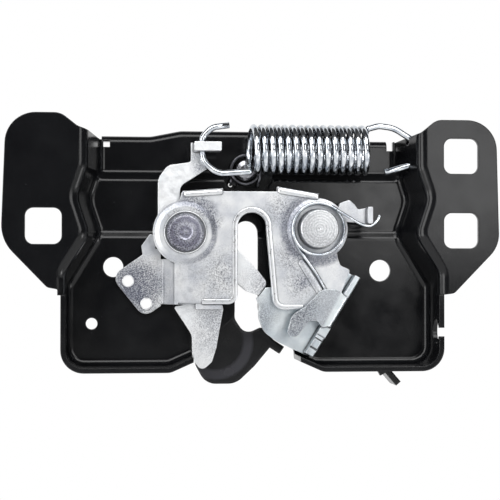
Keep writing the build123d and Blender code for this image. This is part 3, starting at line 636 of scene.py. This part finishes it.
# Finishes, colours as light and dark, then roughness and share of grains
plate_finish = zinc(
    "zinc_plate", (0.78, 0.79, 0.80), (0.56, 0.58, 0.62), 0.44, 0.3,
    patches=[
        (-47.0, FOOT_FRONT, -24.0, 10.0, 17.0),
        (-19.5, BOSS_FRONT, 8.5, 1.5, 6.0),
        (-23.0, PLATE_FRONT, 12.5, 1.0, 5.5),
        (-15.0, PLATE_FRONT, 3.5, 0.5, 4.5),
        (-31.0, BOSS_FRONT, 6.0, 0.5, 5.0),
        (20.0, PLATE_FRONT, -21.0, 1.0, 9.0),
        (13.0, PLATE_FRONT, -10.0, 0.0, 7.0),
        (12.0, PLATE_FRONT, 9.0, 0.0, 9.0),
        (-12.0, PLATE_FRONT, -20.0, 0.0, 16.0),
    ],
    # painted shade, broken up by the grain; on the foot it also stands for the darker grain
    shades=[
        (-48.0, FOOT_FRONT, -23.0, 5.0, 12.0),
        (-17.5, PLATE_FRONT, 7.5, 1.0, 4.5),
        (-21.0, PLATE_FRONT, 10.5, 0.5, 4.0),
        (-26.0, PLATE_FRONT, 12.0, 0.5, 4.0),
        (-15.2, PLATE_FRONT, 2.0, 0.0, 3.0),
        (15.5, PLATE_FRONT, 2.0, 0.5, 4.5),
        (15.5, PLATE_FRONT, -4.0, 0.5, 4.5),
        (18.5, PLATE_FRONT, -9.0, 0.5, 4.5),
        (24.5, PLATE_FRONT, -12.5, 0.0, 4.0),
        (16.0, PLATE_FRONT, -14.0, 0.0, 3.5),
        (20.0, PLATE_FRONT, -21.0, 0.0, 4.5),
        (-45.0, FOOT_FRONT, -22.0, 6.0, 11.0),
        (-47.0, FOOT_FRONT, -26.0, 4.0, 10.0),
    ],
    # painted shade round the bosses, fading towards their lit side: pivot, radius, half width
    # and lit point
    rings=[
        (*PAWL_PIVOT, 12.4, 3.4, 39.0, 9.0),
        (*CLAW_PIVOT, 11.6, 1.6, -38.0, -6.0),
    ],
    web=(-8.7, -2.4))
# a lighter copy of the plate's zinc on its pressed rims and rolls: painted highlight on real
# raised shapes
highlight_rim_finish = zinc("rim_painted_highlight", (0.90, 0.91, 0.92), (0.76, 0.78, 0.81), 0.3, 0.12)
claw_finish = zinc(
    "silver_lever", (0.93, 0.94, 0.95), (0.84, 0.86, 0.88), 0.42, 0.12,
    patches=[
        (-14.0, LEVER_FRONT, -38.0, -8.0, 18.0),
        (5.0, LEVER_FRONT, -22.0, -6.0, 13.0),
    ],
    # painted shade, broken up by the grain
    shades=[
        (-16.0, LEVER_FRONT, -33.0, -2.0, 8.0),
        (-21.0, LEVER_FRONT, 25.0, 0.5, 4.5),
        (-22.5, LEVER_FRONT, 29.5, -1.0, 3.5),
        (-14.0, LEVER_FRONT, -42.0, -6.0, 12.0),
        (5.0, LEVER_FRONT, -22.0, -6.0, 11.0),
    ])
pawl_finish = zinc(
    "blue_zinc", (0.80, 0.85, 0.87), (0.56, 0.62, 0.67), 0.34, 0.12,
    patches=[
        (12.0, PAWL_FOLD_FRONT, -36.0, 3.0, 14.0, 3.0),
        (20.0, PAWL_FOLD_FRONT, -30.0, 2.0, 8.0, 3.0),
    ],
    # painted shade, broken up by the grain
    shades=[
        (4.0, LEVER_FRONT, -34.0, 0.0, 9.0),
        (16.0, PAWL_FOLD_FRONT, -33.0, -3.0, 9.0, 3.0),
    ],
    fold=(0.887, -0.461, 42.7, -12.6))
# painted highlight on the safety hook's ridge: centre (x, z), radius, half width and the point
# it fades towards
hook_ridge_highlight = (-13.5, -45.5, 13.4, 2.6, -8.0, -29.0)

dress(["base_bracket"], black_coat("black_coat", 0.15))
dress(["safety_hook"], black_coat("black_hook", 0.24, 1.6, hook_ridge_highlight))
dress(["front_plate"], plate_finish)
dress(["claw"], claw_finish)
dress(["pawl"], pawl_finish)
dress(["claw_rivet"], ringed(
    "rivet_steel", CLAW_PIVOT, (0.62, 0.63, 0.70), (0.34, 0.34, 0.42), 90.0, 1.0, 0.42))
dress(["pawl_stud"], ringed(
    "turned_steel", PAWL_PIVOT, (0.90, 0.91, 0.92), (0.66, 0.68, 0.70), 300.0, 0.4, 0.36))
dress(["claw_spring", "pawl_spring"], spring_steel(
    "bright_wire", (0.84, 0.87, 0.90), (0.42, 0.46, 0.52), 0.12))
dress(["hook_spring"], spring_steel("dark_wire", (0.2, 0.2, 0.22), (0.08, 0.08, 0.09), 0.3))
dress(["hook_rivet"], spring_steel("dark_rivet", (0.34, 0.34, 0.36), (0.16, 0.16, 0.18), 0.22))
dress(["claw_bush", "claw_rear_washer", "claw_front_washer", "pawl_bush", "pawl_rear_washer",
       "pawl_front_washer", "hook_washer"],
      spring_steel("dark_steel", (0.2, 0.2, 0.21), (0.1, 0.1, 0.11), 0.38))

slot_lip(highlight_rim_finish)
pressed_bar("leg_rib", (19.4, -12.0), (27.8, -25.4), 1.5, plate_finish)
pressed_bar("top_edge_roll", (10.4, 16.0), (26.6, 13.25), 1.2, highlight_rim_finish)
pressed_bar("top_edge_roll_left", (-27.3, 14.1), (-11.9, 15.2), 1.05, highlight_rim_finish)
rolled_rim("upper_hole_rim", (-49.3, -20.4), FOOT_FRONT, 2.3, 0.22, highlight_rim_finish)
rolled_rim("lower_hole_rim", (-42.0, -29.5), FOOT_FRONT, 2.3, 0.22, highlight_rim_finish)
rolled_rim("rivet_seat_ring", CLAW_PIVOT, BOSS_FRONT, 8.3, 0.28, highlight_rim_finish)

# Each spring is replaced by a merged, smooth-shaded copy
flexing_spring("claw_spring", "tension_spring")
flexing_spring("pawl_spring", "torsion_spring")
flexing_spring("hook_spring", "hook_coil")

bpy.context.scene.view_settings.view_transform = "Standard"
